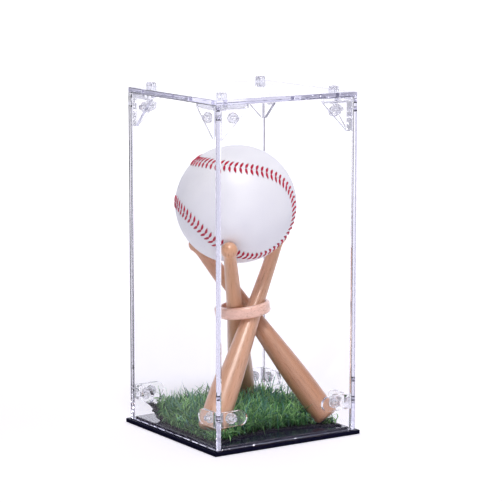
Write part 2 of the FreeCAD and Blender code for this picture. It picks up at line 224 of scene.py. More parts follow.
def setCamera():
    turn, rise = math.radians(camera["azimuth"]), math.radians(camera["elevation"])
    back = Vector((math.sin(turn) * math.cos(rise), -math.cos(turn) * math.cos(rise), math.sin(rise)))
    bpy.ops.object.camera_add(location=Vector(camera["target"]) + back * camera["distance"])
    eye = bpy.context.object
    eye.rotation_mode = "QUATERNION"
    eye.rotation_quaternion = (-back).to_track_quat("-Z", "Y")
    eye.data.lens = camera["lens"]
    eye.data.sensor_width = camera["sensor"]
    eye.data.shift_x = camera["shift"]
    eye.data.clip_start, eye.data.clip_end = camera["clip"]
    bpy.context.scene.camera = eye


setCamera()
print("camera set")

# floor and light
studio = {"floor": 14.0, "floorDrop": 0.1 * mm, "floorTone": (0.87, 0.86, 0.93, 1),
          "floorGlow": (0.22, 0.95), "glowReach": 1.2,  # at the case, and this far behind it
          "behind": (0.62, 0.77, 0.12), "backdrop": 1.35, "backdropSpan": (0.38, 0.80),
          "room": (0.15, 0.58),  # as it lights the pieces, and as it is seen
          "under": 0.04, "horizon": 0.02, "skyTint": (0.89, 0.885, 1.0, 1), "bounces": 28,
          "lamps": [  # place, aimed at, size, power, tint
              ((-0.30, -0.70, 1.60), (0, 0, 0.12), 0.7, 19.5, (1.0, 0.985, 0.98)),
              ((1.05, -1.0, 0.50), (0, 0, 0.10), 0.30, 0.5, (1.0, 0.97, 0.94)),
              ((-0.95, -1.25, 0.45), (0, 0, 0.10), 0.28, 0.6, (0.96, 0.95, 1.0)),
              ((-0.62, -1.00, 0.42), (0, 0, 0.13), 0.80, 1.65, (1.0, 0.99, 0.98))]}


def makeFloor():
    clearSelection()
    bpy.ops.mesh.primitive_plane_add(size=studio["floor"], location=(0, 0, -studio["floorDrop"]))
    floor = nameNew("studio_floor")
    material, tree, shader = newFinish("pale_floor", Roughness=0.9, Base_Color=studio["floorTone"],
                                       Emission_Color=(1, 1, 1, 1), Specular_IOR_Level=0.0)
    away = dot(tree, place(tree), studio["behind"])
    glow = span(tree, away, *studio["floorGlow"], 0.0, studio["glowReach"])
    wire(tree, glow, shader, "Emission Strength")  # stays white where the lamps fade
    dress(floor, material)
    floor.visible_glossy = False  # keeps the clear walls free of a white veil


def makeSky():
    world = bpy.data.worlds.new("studio")
    bpy.context.scene.world = world
    world.use_nodes = True
    sky = world.node_tree
    heading = add(sky, "TexCoord").outputs["Generated"]
    rays = add(sky, "LightPath").outputs
    seen = sums(sky, "MAXIMUM", rays["Is Camera Ray"], rays["Is Transmission Ray"])
    room = span(sky, seen, *studio["room"])
    ahead = dot(sky, heading, studio["behind"])
    level = span(sky, ahead, room, studio["backdrop"], *studio["backdropSpan"])
    horizon = studio["horizon"]  # the room is dark below it
    above = span(sky, parts(sky, heading)[2], studio["under"], 1.0, -horizon, horizon)
    background = sky.nodes["Background"]
    wire(sky, sums(sky, "MULTIPLY", level, above), background, "Strength")
    background.inputs["Color"].default_value = studio["skyTint"]


def hangLamps():
    for at, aim, size, power, tint in studio["lamps"]:
        bpy.ops.object.light_add(type="AREA", location=at)
        lamp = bpy.context.object
        lamp.data.size = size
        lamp.data.energy = power
        lamp.data.color = tint
        lamp.rotation_mode = "QUATERNION"
        lamp.rotation_quaternion = (Vector(aim) - Vector(at)).to_track_quat("-Z", "Y")


def setView():
    scene = bpy.context.scene
    scene.view_settings.view_transform = "Standard"
    scene.view_settings.look = "None"
    scene.cycles.max_bounces = studio["bounces"]  # light runs along inside the clear sheets
    scene.cycles.transmission_bounces = studio["bounces"]
    scene.cycles.glossy_bounces = studio["bounces"]


makeFloor()
makeSky()
hangLamps()
setView()
print("studio set")

# clear cover
clearSheet = {"tint": (0.80, 0.80, 0.90, 1), "density": 5.0, "waver": 0.0, "haze": 0.012, "mirror": 0.1,
              "edge": (0.86, 0.85, 0.92),
              "foot": (0.36, 0.35, 0.42), "footRise": (0.1 * mm, 0.4 * mm),  # duller along the base: painted shade over a bright line at the sheets' bottom edges
              "arris": (0.06, 0.055, 0.085), "arrisReach": (1.9 * mm, 1.6 * mm),  # painted shade, a dark line at the far corner
              "cut": (0.46, 0.45, 0.53), "cutStart": (8 * mm, 12 * mm),  # painted shade on the right half of the top's long cuts
              "faces": {"wall_front": 1, "wall_back": 1, "wall_left": 0, "wall_right": 0,
                        "top_panel": 2}}  # axis its faces look along
clearMoulding = {"tint": (0.78, 0.78, 0.87, 1), "density": 14.0, "waver": 0.25, "haze": 0.06,
                 "edge": (0.40, 0.395, 0.48)}
clearPeg = {"tint": (0.78, 0.78, 0.87, 1), "density": 14.0, "waver": 0.2, "haze": 0.05,
            "edge": (0.78, 0.78, 0.84)}
clearGrain = {"edgeTurn": (0.90, 0.97), "hazeScale": 90, "hazeSpan": (0.4, 0.7),
              "waverScale": 260, "waverDepth": 0.2 * mm}


def sheetTint(tree, look, face, vector, sides, edge):  # where a sheet is tinted, and its colours there
    foot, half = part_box("wall_front")[0].z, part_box("top_panel")[1].x
    at = parts(tree, vector)
    # painted shade along the base of the sheets
    low = span(tree, at[2], 1.0, 0.0, *[foot + rise for rise in look["footRise"]])
    tint = mix(tree, low, look["edge"], look["foot"])
    # painted shade: a dark line at the far corner
    corner = [2 * half - reach for reach in look["arrisReach"]]
    arris = span(tree, sums(tree, "ADD", at[0], at[1]), 0.0, 1.0, *corner)
    arris = sums(tree, "MULTIPLY", arris, sums(tree, "SUBTRACT", 1.0, edge))  # on faces alone
    tint = mix(tree, arris, tint, look["arris"])
    if face == look["faces"]["top_panel"]:
        # painted shade on the right half of the top panel's long cuts
        cut = sums(tree, "MULTIPLY", sides[1], span(tree, at[0], 0.0, 1.0, *look["cutStart"]))
        tint = mix(tree, cut, tint, look["cut"])
    return sums(tree, "MAXIMUM", edge, arris), tint


def clearFinish(name, look, face=None):  # a sheet says which axis its faces look along
    mirror = 1 if face is None else look["mirror"]  # polished sheet hardly mirrors the room
    material, tree, shader = newFinish(name, IOR=acrylicIor, Transmission_Weight=1.0,
                                       Specular_Tint=(mirror, mirror, mirror, 1))
    vector = place(tree)
    facing = parts(tree, add(tree, "NewGeometry").outputs["True Normal"])
    sides = [sums(tree, "ABSOLUTE", facing[axis]) for axis in range(3)]
    if face is None:
        flat = sums(tree, "MAXIMUM", sums(tree, "MAXIMUM", sides[0], sides[1]), sides[2])
    else:
        flat = sides[face]
    edge = span(tree, flat, 1.0, 0.0, *clearGrain["edgeTurn"])  # lavender cast on edges, faces are clear
    tint = look["edge"]
    if face is not None:
        edge, tint = sheetTint(tree, look, face, vector, sides, edge)
    wire(tree, mix(tree, edge, (1, 1, 1), tint), shader, "Base Color")
    haze = grain(tree, vector, clearGrain["hazeScale"])
    wire(tree, span(tree, haze, 0.0, look["haze"], *clearGrain["hazeSpan"]), shader, "Roughness")
    if look["waver"]:
        waves = grain(tree, vector, clearGrain["waverScale"], 2)
        bump(tree, shader, waves, look["waver"], clearGrain["waverDepth"])
    volume = add(tree, "VolumeAbsorption", {"Color": look["tint"], "Density": look["density"]})
    tree.links.new(volume.outputs[0], tree.nodes["Material Output"].inputs["Volume"])
    return material


def showThrough(piece):  # light passes the clear pieces without noise
    piece.visible_shadow = False
    piece.visible_diffuse = False


mouldingFinish = clearFinish("clear_moulding", clearMoulding)
for nodeName, node in cadNodes.items():
    if nodeName in clearSheet["faces"]:
        dress(node, clearFinish("clear_" + nodeName, clearSheet, clearSheet["faces"][nodeName]))
        showThrough(node)
    elif "bracket" in nodeName:
        dress(node, mouldingFinish)
        showThrough(node)
print("cover dressed")

# screws
screw = {"head": 3.3 * mm, "headLength": 2.6 * mm, "shank": 1.5 * mm, "shankShort": 0.2 * mm,
         "seat": 5.4 * mm, "corner": 0.45 * mm, "slack": 0.01 * mm, "smooth": 35,
         "steps": 56, "fluteEvery": 4, "fluteDepth": 0.32 * mm, "fluteRim": 1.5,  # corners in from the rim
         "socket": 1.5 * mm, "socketTaper": 0.86, "socketDepth": 1.2 * mm,
         "upperAlong": 11.5 * mm, "upperDrop": 8.5 * mm,  # from the corner, and under the top panel
         "lowerAlong": 10 * mm, "lowerHeight": 20.5 * mm,
         "dark": (0.66, 0.66, 0.73), "pale": (0.90, 0.90, 0.95), "toneScale": 300,
         "rough": (0.04, 0.14), "roughScale": 160}
peg = {"head": 3.1 * mm, "headLength": 3.2 * mm, "tail": 7.6 * mm, "lift": 0.1 * mm, "inset": 7.5 * mm}
sheetThickness = 3.0 * mm
panelLow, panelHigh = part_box("top_panel")
coverHalf = panelHigh.x
coverInner = coverHalf - sheetThickness


def fluted(name, headRadius, headLength, shankLength, seat):  # head above its seat, shank below it
    top, tail, corner = seat + headLength, seat - shankLength, screw["corner"]
    socketFloor = top - screw["socketDepth"]
    outline = [(0, tail), (screw["shank"], tail), (screw["shank"], seat), (headRadius, seat),
               (headRadius, top - corner), (headRadius - corner, top), (screw["socket"], top),
               (screw["socket"] * screw["socketTaper"], socketFloor), (0, socketFloor)]
    piece = pick(meshPiece(name, [(x, 0, z) for x, z in outline], []))
    piece.data.edges.add(len(outline) - 1)
    for index, edge in enumerate(piece.data.edges):
        edge.vertices = (index, index + 1)
    bpy.ops.object.mode_set(mode="EDIT")
    bpy.ops.mesh.select_all(action="SELECT")
    bpy.ops.mesh.spin(steps=screw["steps"], angle=math.tau, center=(0, 0, 0), axis=(0, 0, 1))
    bpy.ops.mesh.select_all(action="SELECT")
    bpy.ops.mesh.remove_doubles(threshold=screw["slack"])
    bpy.ops.mesh.normals_make_consistent(inside=False)
    bpy.ops.object.mode_set(mode="OBJECT")
    every, rim = screw["fluteEvery"], headRadius - screw["fluteRim"] * corner
    for point in piece.data.vertices:  # grip flutes round the head
        step = round(math.atan2(point.co.y, point.co.x) / math.tau * screw["steps"])
        outer = point.co.xy.length > rim and point.co.z > seat - screw["slack"]
        if outer and step % every == every // 2:
            point.co.xy *= 1 - screw["fluteDepth"] / headRadius
    return piece


def screwFinish():
    material, tree, shader = newFinish("clear_screw", IOR=acrylicIor, Transmission_Weight=0.82)
    vector = place(tree)
    tone = mix(tree, grain(tree, vector, screw["toneScale"]), screw["dark"], screw["pale"])
    wire(tree, tone, shader, "Base Color")
    rough = span(tree, grain(tree, vector, screw["roughScale"]), *screw["rough"], *noiseBand)
    wire(tree, rough, shader, "Roughness")
    return material


def makeScrews():
    clearScrew = screwFinish()
    seat = screw["seat"]
    inward = [Matrix.Rotation(math.radians(-90), 4, "X"), Matrix.Rotation(math.radians(90), 4, "Y")]
    rows = {"upper_screws": (screw["upperAlong"], panelLow.z - screw["upperDrop"]),
            "lower_screws": (screw["lowerAlong"], screw["lowerHeight"])}
    for name, (along, height) in rows.items():
        spots = [Vector((along - coverInner, -coverHalf, height)),
                 Vector((-coverHalf, along - coverInner, height))]
        places = [Matrix.Rotation(math.radians(90 * corner), 4, "Z") @ Matrix.Translation(spot) @ turn
                  for corner in range(4) for spot, turn in zip(spots, inward)]
        template = fluted(name, screw["head"], screw["headLength"], seat - screw["shankShort"], seat)
        piece = joinCopies(name, template, places)
        smooth(piece, screw["smooth"])
        showThrough(piece)
        put(piece, "cover", "clear_fitting", clearScrew, name.split("_")[0] + "_wall_screws")


def makePegs():
    inset = coverInner - peg["inset"]
    places = [Matrix.Translation((x * inset, y * inset, panelHigh.z)) for x in (-1, 1) for y in (-1, 1)]
    template = fluted("top_pegs", peg["head"], peg["headLength"], peg["tail"], peg["lift"])
    piece = joinCopies("top_pegs", template, places)
    smooth(piece, screw["smooth"])
    showThrough(piece)
    put(piece, "cover", "clear_fitting", clearFinish("clear_peg", clearPeg), "top_screws")


makeScrews()
makePegs()
print("screws made")

# base
# both plates are black acrylic; the step plate's lighter navy colour is a painted reflection of the bluish
# room
blackSheet = {"base_plate": {"colour": (0.006, 0.006, 0.018), "coat": 0.0, "mirror": 0.03,
                             "rough": (0.04, 0.09)},
              "step_plate": {"colour": (0.014, 0.012, 0.036), "coat": 0.5, "mirror": 0.5,
                             "rough": (0.03, 0.07)}}
dust = {"colour": (0.025, 0.025, 0.045), "scale": 1400, "none": 0.66, "full": 0.74}
polish = {"scale": 45, "coatRoughness": 0.02, "wipes": (60, 900, 60), "relief": (0.01, 0.1 * mm)}


def blackFinish(name, look):
    material, tree, shader = newFinish(name, IOR=acrylicIor, Specular_IOR_Level=look["mirror"],
                                       Coat_Weight=look["coat"], Coat_Roughness=polish["coatRoughness"])
    vector = place(tree)
    motes = grain(tree, vector, dust["scale"], 2)
    specks = ramp(tree, motes, (dust["none"], (0, 0, 0)), (dust["full"], (1, 1, 1)))
    wire(tree, mix(tree, specks, look["colour"], dust["colour"]), shader, "Base Color")
    rough = span(tree, grain(tree, vector, polish["scale"]), *look["rough"], *wideNoiseBand)
    wire(tree, rough, shader, "Roughness")
    bump(tree, shader, grain(tree, place(tree, stretch=polish["wipes"]), 1.0, 2), *polish["relief"])
    return material


for nodeName, look in blackSheet.items():
    dress(cadNodes[nodeName], blackFinish("black_" + nodeName, look))
print("base dressed")

# bats and ring
bats = {"bat_front": {"foot": (26.70, 40.50, 8.738), "knob": (-23.561, -21.305, 118.285),
                      "tone": (0.66, 0.355, 0.218), "paintedLightGain": 1.0},  # times paler towards the knob: painted light over the ball's shadow on the upper part
        "bat_left": {"foot": (39.10, -36.50, 9.085), "knob": (-9.705, 34.745, 113.435),
                     "tone": (0.47, 0.226, 0.127), "paintedLightGain": 1.45},
        "bat_right": {"foot": (-37.60, -24.40, 8.733), "knob": (34.063, 10.170, 118.351),
                      "tone": (0.62, 0.340, 0.218), "paintedLightGain": 1.25}}
wood = {"coat": 0.8, "coatRoughness": 0.30, "darker": 0.87, "lighter": 1.12,
        "line": (0.91, 0.88, 0.85), "pore": (0.72, 0.62, 0.54), "paintedLightTint": (1, 0.98, 0.93),
        "paintedLightSpan": (0.4, 0.8),  # shares of a bat's length over which painted light makes it paler
        "batStretch": ((110, 110, 16), (900, 900, 22), (1500, 1500, 130)),  # figure, lines, pores
        "ringStretch": ((150, 150, 60), (800, 800, 240), (1500, 1500, 700)),
        "batRelief": (0.05, 0.06 * mm), "ringRelief": (0.06, 0.08 * mm)}  # strength, depth


def woodColour(tree, tone, figure, streak, fleck):
    dark = tuple(c * wood["darker"] for c in tone)
    pale = tuple(min(c * wood["lighter"], 1) for c in tone)
    base = ramp(tree, grain(tree, figure, 1.0, 4), (0.30, dark), (0.52, tone), (0.72, pale))
    lines = ramp(tree, grain(tree, streak, 1.0, 3), (0.36, wood["line"]), (0.56, (1, 1, 1)))
    pores = ramp(tree, grain(tree, fleck, 1.0, 1), (0.62, (1, 1, 1)), (0.70, wood["pore"]))
    return mix(tree, 1.0, mix(tree, 1.0, base, lines, "MULTIPLY"), pores, "MULTIPLY")


def batFinish(name, bat):
    material, tree, shader = newFinish(name + "_wood", Roughness=0.42, IOR=1.5, Coat_Weight=wood["coat"],
                                       Coat_Roughness=wood["coatRoughness"])
    start, end = Vector(bat["foot"]) * mm, Vector(bat["knob"]) * mm
    turn = (end - start).to_track_quat("Z", "X").to_euler()
    stretched = [place(tree, turn, start, stretch) for stretch in wood["batStretch"]]
    along = parts(tree, place(tree, turn, start))[2]
    # painted light: each bat turns paler towards its knob, where the ball shades it
    reach = [share * (end - start).length for share in wood["paintedLightSpan"]]
    paintedLightGain = tuple(bat["paintedLightGain"] * c for c in wood["paintedLightTint"])
    lift = mix(tree, span(tree, along, 0.0, 1.0, *reach), (1, 1, 1), paintedLightGain)
    colour = mix(tree, 1.0, woodColour(tree, bat["tone"], *stretched), lift, "MULTIPLY")
    wire(tree, colour, shader, "Base Color")
    bump(tree, shader, grain(tree, stretched[1], 1.0, 3), *wood["batRelief"])
    return material


ringWood = {"tilt": 7.5, "highSide": -32.0, "radius": 15.0 * mm, "tone": (0.96, 0.595, 0.485)}


def ringFinish():
    material, tree, shader = newFinish("ring_wood", Roughness=0.4, IOR=1.5, Coat_Weight=1.0,
                                       Coat_Roughness=0.1)
    heading = math.radians(ringWood["highSide"] + 90)
    hinge = Vector((math.cos(heading), math.sin(heading), 0))
    axis = Matrix.Rotation(math.radians(-ringWood["tilt"]), 3, hinge) @ Vector((0, 0, 1))
    low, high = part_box("stand_ring")
    local = place(tree, axis.to_track_quat("Z", "X").to_euler(), (low + high) / 2)
    at = parts(tree, local)
    around = sums(tree, "MULTIPLY", sums(tree, "ARCTAN2", at[1], at[0]), ringWood["radius"])
    out = add(tree, "VectorMath", {0: local}, operation="LENGTH").outputs["Value"]
    wrapped = add(tree, "CombineXYZ", {0: out, 1: at[2], 2: around}).outputs[0]  # grain runs round the ring
    stretched = [add(tree, "Mapping", {"Vector": wrapped, "Scale": stretch}).outputs[0]
                 for stretch in wood["ringStretch"]]
    wire(tree, woodColour(tree, ringWood["tone"], *stretched), shader, "Base Color")
    bump(tree, shader, grain(tree, stretched[2], 1.0, 2), *wood["ringRelief"])
    return material


for nodeName, bat in bats.items():
    dress(cadNodes[nodeName], batFinish(nodeName, bat))
dress(cadNodes["stand_ring"], ringFinish())
print("bats dressed")

# ball
ball = {"radius": 36.75 * mm, "swing": 22.3, "pitch": 116.0, "turn": 66.0, "stitches": 122, "reach": 4.0 * mm,
        "advance": 1.3 * mm, "gap": 0.1 * mm, "seamBand": 5.8 * mm, "seamSteps": 3000, "fineSteps": 6000}
# the seam colour, grooveShade and seamShade paint shade into the seam's groove and the stitch holes
leather = {"groove": 0.30 * mm, "grooveWidth": 0.36 * mm, "grooveShade": 0.16,
           "welt": 0.14 * mm, "weltPlace": 1.3 * mm, "weltWidth": 0.9 * mm,
           "pucker": 0.08 * mm, "puckerReach": 2.4 * mm, "hole": 0.36 * mm, "holeWidth": 0.42 * mm,
           "dark": (0.81, 0.805, 0.865), "pale": (0.85, 0.845, 0.895), "toneScale": 70,
           "seam": (0.25, 0.20, 0.23), "seamShade": 0.75, "rough": (0.36, 0.5), "roughScale": 500,
           "pebbleScale": 1500, "creaseScale": 420, "relief": (0.05, 0.3 * mm), "smooth": 60}
# the thread's dark is painted shade in the grooves between its twisted strands
thread = {"width": 1.70 * mm, "height": 1.00 * mm, "sides": 8, "rings": 7, "turns": 5.0, "strands": 2.0,
          "full": 1.15, "taper": 0.35, "bow": 0.09, "sunk": (0.02 * mm, 0.06 * mm), "lift": 0.16 * mm,
          "dark": (0.16, 0.003, 0.020), "pale": (0.54, 0.009, 0.050), "relief": (0.5, 0.2 * mm), "smooth": 80}
lowest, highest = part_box("ball_winding")
ballCentre = (lowest + highest) / 2
ballPitch = Matrix.Rotation(math.radians(ball["pitch"]), 3, "X")
ballTurn = Matrix.Rotation(math.radians(ball["turn"]), 3, "Z") @ ballPitch


def seamDirection(turn):
    swing = math.radians(ball["swing"])
    polar = math.pi / 2 - (math.pi / 2 - swing) * math.cos(turn)
    heading = turn / 2 + swing * math.sin(2 * turn)
    flat = math.sin(polar)
    return ballTurn @ Vector((flat * math.cos(heading), flat * math.sin(heading), math.cos(polar)))


def seamStations(count):  # evenly spaced places along the seam, with the way it runs there
    fine = ball["fineSteps"]
    points = [seamDirection(4 * math.pi * index / fine) for index in range(fine + 1)]
    lengths = np.cumsum([0] + [(b - a).length for a, b in zip(points, points[1:])])
    made = []
    for wanted in (np.arange(count) + 0.5) / count * lengths[-1]:
        index = int(np.searchsorted(lengths, wanted)) - 1
        share = (wanted - lengths[index]) / (lengths[index + 1] - lengths[index])
        outward = points[index].lerp(points[index + 1], share).normalized()
        tangent = (points[index + 1] - points[index]).normalized()
        made.append((outward, tangent, outward.cross(tangent).normalized()))
    return made


stitchPlaces = seamStations(ball["stitches"])


def legEnds(outward, tangent, across, side):
    start = outward * ball["radius"] + across * side * ball["gap"] / 2
    return start, start + across * side * ball["reach"] + tangent * ball["advance"]


def nearTree(places):
    tree = kdtree.KDTree(len(places))
    for index, spot in enumerate(places):
        tree.insert(spot, index)
    tree.balance()
    return tree


def bell(away, width):
    return math.exp(-(away / width) ** 2)


def makeLeather():
    radius, steps = ball["radius"], ball["seamSteps"]
    seamTree = nearTree([station[0] * radius for station in seamStations(steps)])
    holeTree = nearTree([legEnds(*spot, side)[1].normalized() * radius
                         for spot in stitchPlaces for side in (1, -1)])
    clearSelection()
    bpy.ops.mesh.primitive_ico_sphere_add(subdivisions=6, radius=radius)
    piece = nameNew("ball_leather")
    bpy.ops.object.mode_set(mode="EDIT")
    bpy.ops.mesh.select_mode(type="FACE")
    pickFaces(piece, lambda face: seamTree.find(face.center)[2] < ball["seamBand"])
    bpy.ops.mesh.subdivide(number_cuts=3)
    bpy.ops.object.mode_set(mode="OBJECT")
    dark = []
    for point in piece.data.vertices:
        outward = point.co.normalized()
        index, away = seamTree.find(outward * radius)[1:]
        phase = index / steps * ball["stitches"] - 0.5  # a whole number at each stitch
        groove = bell(away, leather["grooveWidth"])
        pit = bell(holeTree.find(outward * radius)[2], leather["holeWidth"])
        welt = bell(away - leather["weltPlace"], leather["weltWidth"])
        lift = leather["welt"] * welt - leather["groove"] * groove
        lift -= leather["hole"] * pit
        lift += leather["pucker"] * math.cos(math.tau * phase) * bell(away, leather["puckerReach"])
        point.co = ballCentre + outward * (radius + lift)
        # painted shade in the seam's groove and the stitch holes
        dark.append(min(1.0, leather["grooveShade"] * groove + pit))
    setAttribute(piece, "seam", dark)
    smooth(piece, leather["smooth"])
    return piece


def makeThreadLeg():
    clearSelection()
    bpy.ops.mesh.primitive_uv_sphere_add(segments=thread["sides"], ring_count=thread["rings"], radius=0.5,
                                         rotation=(0, math.radians(90), 0))
    leg = settle(nameNew("thread_leg"))
    setAttribute(leg, "run", [point.co.x + 0.5 for point in leg.data.vertices])
    setAttribute(leg, "twist", [math.atan2(point.co.z, point.co.y) / math.tau for point in leg.data.vertices])
    for point in leg.data.vertices:  # fuller near the seam, drawn to a point at its hole
        full = thread["full"] - thread["taper"] * (point.co.x + 0.5)
        point.co.y = point.co.y * full + thread["bow"] * math.cos(math.pi * point.co.x)
        point.co.z *= full
    return leg


def legPlace(spot, side):
    start, end = [tip.normalized() * (ball["radius"] - sunk)
                  for tip, sunk in zip(legEnds(*spot, side), thread["sunk"])]
    along = end - start
    outward = ((start + end) / 2).normalized()
    across = outward.cross(along).normalized() * side
    outward = along.cross(across).normalized() * side
    scale = Matrix.Diagonal((along.length, thread["width"], thread["height"], 1))
    turn = Matrix((along.normalized(), across, outward)).transposed().to_4x4()
    middle = ballCentre + (start + end) / 2 + outward * thread["lift"]
    return Matrix.Translation(middle) @ turn @ scale


def makeThread():
    places = [legPlace(spot, side) for spot in stitchPlaces for side in (1, -1)]
    piece = pick(joinCopies("ball_thread", makeThreadLeg(), places))
    bpy.ops.object.mode_set(mode="EDIT")
    bpy.ops.mesh.select_all(action="SELECT")
    bpy.ops.mesh.normals_make_consistent(inside=False)
    bpy.ops.object.mode_set(mode="OBJECT")
    smooth(piece, thread["smooth"])
    return piece


def leatherFinish():
    material, tree, shader = newFinish("white_leather", IOR=1.45, Coat_Weight=0.12, Coat_Roughness=0.25)
    vector = place(tree)
    low, high = noiseBand
    cloud = grain(tree, vector, leather["toneScale"])
    tone = ramp(tree, cloud, (low, leather["dark"]), (high, leather["pale"]))
    # painted shade darkens the seam's groove and the stitch holes
    shade = sums(tree, "MULTIPLY", painted(tree, "seam"), leather["seamShade"])
    wire(tree, mix(tree, shade, tone, leather["seam"]), shader, "Base Color")
    rough = span(tree, grain(tree, vector, leather["roughScale"]), *leather["rough"], *noiseBand)
    wire(tree, rough, shader, "Roughness")
    pebble = add(tree, "TexVoronoi", {"Vector": vector, "Scale": leather["pebbleScale"]}).outputs["Distance"]
    creases = grain(tree, vector, leather["creaseScale"])
    bump(tree, shader, sums(tree, "ADD", pebble, creases), *leather["relief"])
    return material


def threadFinish():
    material, tree, shader = newFinish("red_thread", Roughness=0.6, Specular_IOR_Level=0.25)
    turns = sums(tree, "ADD", sums(tree, "MULTIPLY", painted(tree, "run"), thread["turns"]),
                 sums(tree, "MULTIPLY", painted(tree, "twist"), thread["strands"]))
    strand = sums(tree, "ABSOLUTE", sums(tree, "SINE", sums(tree, "MULTIPLY", turns, math.pi)))
    # painted shade: dark in the grooves between the twisted strands, the same wave gives their relief
    wire(tree, ramp(tree, strand, (0.0, thread["dark"]), (0.55, thread["pale"])), shader, "Base Color")
    bump(tree, shader, strand, *thread["relief"])
    return material


put(makeLeather(), "ball", "white_leather", leatherFinish(), "ball_panel_lower", "ball_panel_upper")
put(makeThread(), "ball", "red_thread", threadFinish(), "ball_stitches")
print("ball covered and stitched")

ballInside = {"ball_cork": ((0.42, 0.25, 0.12), (0.60, 0.40, 0.22), 500),  # dark, pale, scale
              "ball_rubber": ((0.18, 0.03, 0.025), (0.26, 0.05, 0.04), 900),
              "ball_winding": ((0.50, 0.48, 0.44), (0.68, 0.66, 0.61), 1400)}
insideRelief = (0.3, 0.5 * mm)


def insideFinish(name, dark, pale, scale):
    material, tree, shader = newFinish(name + "_finish", Roughness=0.85)
    fibre = grain(tree, place(tree), scale)
    low, high = noiseBand
    wire(tree, ramp(tree, fibre, (low, dark), (high, pale)), shader, "Base Color")
    bump(tree, shader, fibre, *insideRelief)
    return material


for nodeName, looks in ballInside.items():
    dress(cadNodes[nodeName], insideFinish(nodeName, *looks))
print("ball's inside dressed")

# turf mat
mat = {"half": 44.6 * mm, "hollow": 11.0 * mm, "stepTop": 4.5 * mm, "thickness": 0.8 * mm, "lift": 0.05 * mm,
       "curlLeg": 33.0 * mm, "curlRadius": 24.0 * mm, "curlAngle": 42.0, "cells": 64, "smooth": 45,
       "dark": (0.006, 0.006, 0.012), "pale": (0.036, 0.032, 0.052), "tones": (0.35, 0.70),
       "weave": 4200, "fuzzScale": 700, "fuzzDetail": 4, "fuzzShare": 2.0, "relief": (0.6, 0.4 * mm)}
fray = {"depth": 0.45 * mm, "inward": 0.35, "scale": 900, "rimStart": 0.94, "rimWidth": 0.06,
        "pullStart": 0.93, "torn": 1.15, "tornDepth": 5.0 * mm,  # torn at the turned corner
        "bite": 15.0 * mm, "biteScale": 260, "sideSlice": 0.3, "biteSlice": 0.007}  # slices of the noise


def frontEdge(x, half):
    return -half + mat["hollow"] * (1 - (x / half) ** 2)


def layOnMat(points):  # flat places (x, y, height over the step) bent up at the turned corner
    points = np.array(points, float).reshape(-1, 3)
    half, leg, radius = mat["half"], mat["curlLeg"], mat["curlRadius"]
    limit = math.radians(mat["curlAngle"])
    beyond = ((points[:, 1] - (half - leg)) - (points[:, 0] + half)) / math.sqrt(2)
    turn = np.clip(beyond / radius, 0, limit)
    straight = np.maximum(beyond - radius * limit, 0)
    height = points[:, 2]
    outward = (radius - height) * np.sin(turn) + straight * np.cos(turn) - np.maximum(beyond, 0)
    laid = points.copy()
    laid[:, 0] -= outward / math.sqrt(2)
    laid[:, 1] += outward / math.sqrt(2)
    laid[:, 2] = mat["stepTop"] + radius - (radius - height) * np.cos(turn) + straight * np.sin(turn)
    return laid


def frayed(across, up):  # grid place from -1 to 1 both ways, put on the cut and torn mat
    half, scale = mat["half"], fray["scale"]
    x = across * half
    low = frontEdge(x, half)
    y = low + (up + 1) / 2 * (half - low)
    ragged = Vector((noise.noise(Vector((x, y, 0)) * scale),
                     noise.noise(Vector((y, x, fray["sideSlice"])) * scale)))
    rim = max(0.0, (max(abs(across), abs(up)) - fray["rimStart"]) / fray["rimWidth"])
    tip = max(0.0, (y - x) / half - fray["torn"])
    strength = (fray["depth"] + fray["tornDepth"] * tip) * rim
    uneven = noise.noise(Vector((x, y, fray["biteSlice"])) * fray["biteScale"])
    bite = fray["bite"] * tip * max(0.0, uneven)
    pull = rim * (fray["inward"] * fray["depth"] + bite)
    x -= pull * math.copysign(1, x) * (abs(across) > fray["pullStart"])
    y -= pull * math.copysign(1, up) * (abs(up) > fray["pullStart"])
    return x + ragged.x * strength, y + ragged.y * strength, mat["lift"]


def makeBacking():
    clearSelection()
    cells = mat["cells"]
    bpy.ops.mesh.primitive_grid_add(x_subdivisions=cells, y_subdivisions=cells, size=2)
    piece = nameNew("mat_backing")
    flat = [frayed(point.co.x, point.co.y) for point in piece.data.vertices]
    for point, laid in zip(piece.data.vertices, layOnMat(flat)):
        point.co = laid
    pick(piece)
    wall = piece.modifiers.new("thickness", "SOLIDIFY")
    wall.thickness = mat["thickness"] - mat["lift"]
    wall.offset = 1
    bpy.ops.object.modifier_apply(modifier="thickness")
    smooth(piece, mat["smooth"])
    return piece


def backingFinish():
    material, tree, shader = newFinish("black_backing", Roughness=0.9, Specular_IOR_Level=0.2)
    vector = place(tree)
    at = parts(tree, vector)
    warp, weft = [sums(tree, "SINE", sums(tree, "MULTIPLY", at[axis], mat["weave"])) for axis in (0, 1)]
    weave = sums(tree, "MULTIPLY", warp, weft)
    fuzz = grain(tree, vector, mat["fuzzScale"], mat["fuzzDetail"])
    low, high = mat["tones"]
    wire(tree, ramp(tree, fuzz, (low, mat["dark"]), (high, mat["pale"])), shader, "Base Color")
    height = sums(tree, "ADD", weave, sums(tree, "MULTIPLY", fuzz, mat["fuzzShare"]))
    bump(tree, shader, height, *mat["relief"])
    return material


backing = makeBacking()
put(backing, "base", "mat_backing", backingFinish(), "turf_backing")
print("mat laid")

